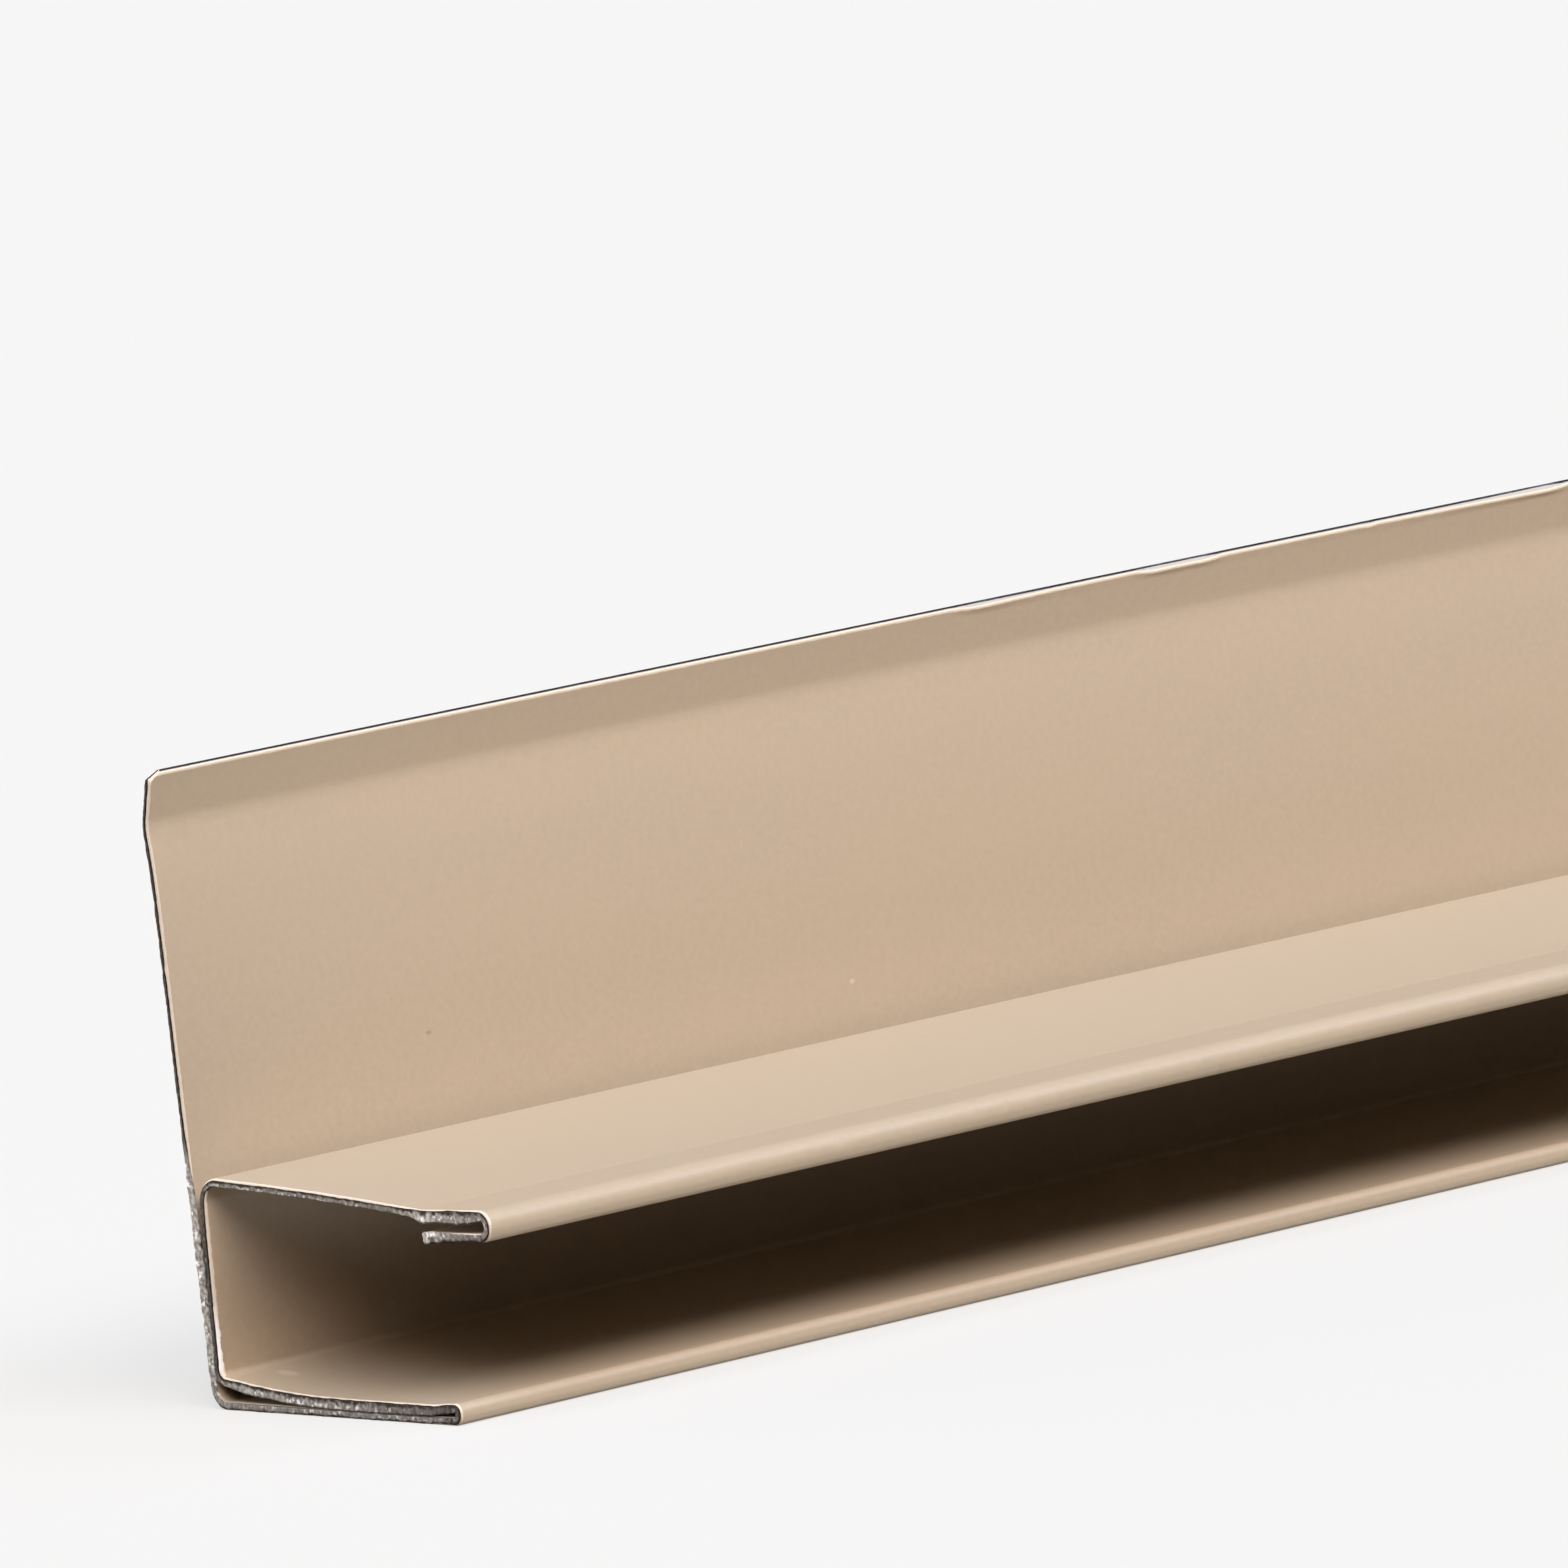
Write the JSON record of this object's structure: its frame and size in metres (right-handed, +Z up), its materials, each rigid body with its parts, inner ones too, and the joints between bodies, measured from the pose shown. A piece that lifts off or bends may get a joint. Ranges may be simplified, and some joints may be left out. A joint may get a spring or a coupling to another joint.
{
  "type": "f-channel trim",
  "caption": "Folded aluminium F-channel trim: tall nailing flange behind a forward pocket with a doubled bottom leg and an open-hemmed top leg.",
  "frame": {"origin": "middle of the length and of the depth, on the plane that the trim rests on", "axes": "+X along the stock away from the snipped end, the pocket opens to -Y, the nailing flange stands at the +Y side, +Z up"},
  "size_m": [3.048, 0.0284, 0.0381],
  "materials": {
    "painted_sheet": "satin tan coil-coated aluminium sheet"
  },
  "bodies": {
    "root": {"f_channel": "painted_sheet"}
  },
  "joints": []
}
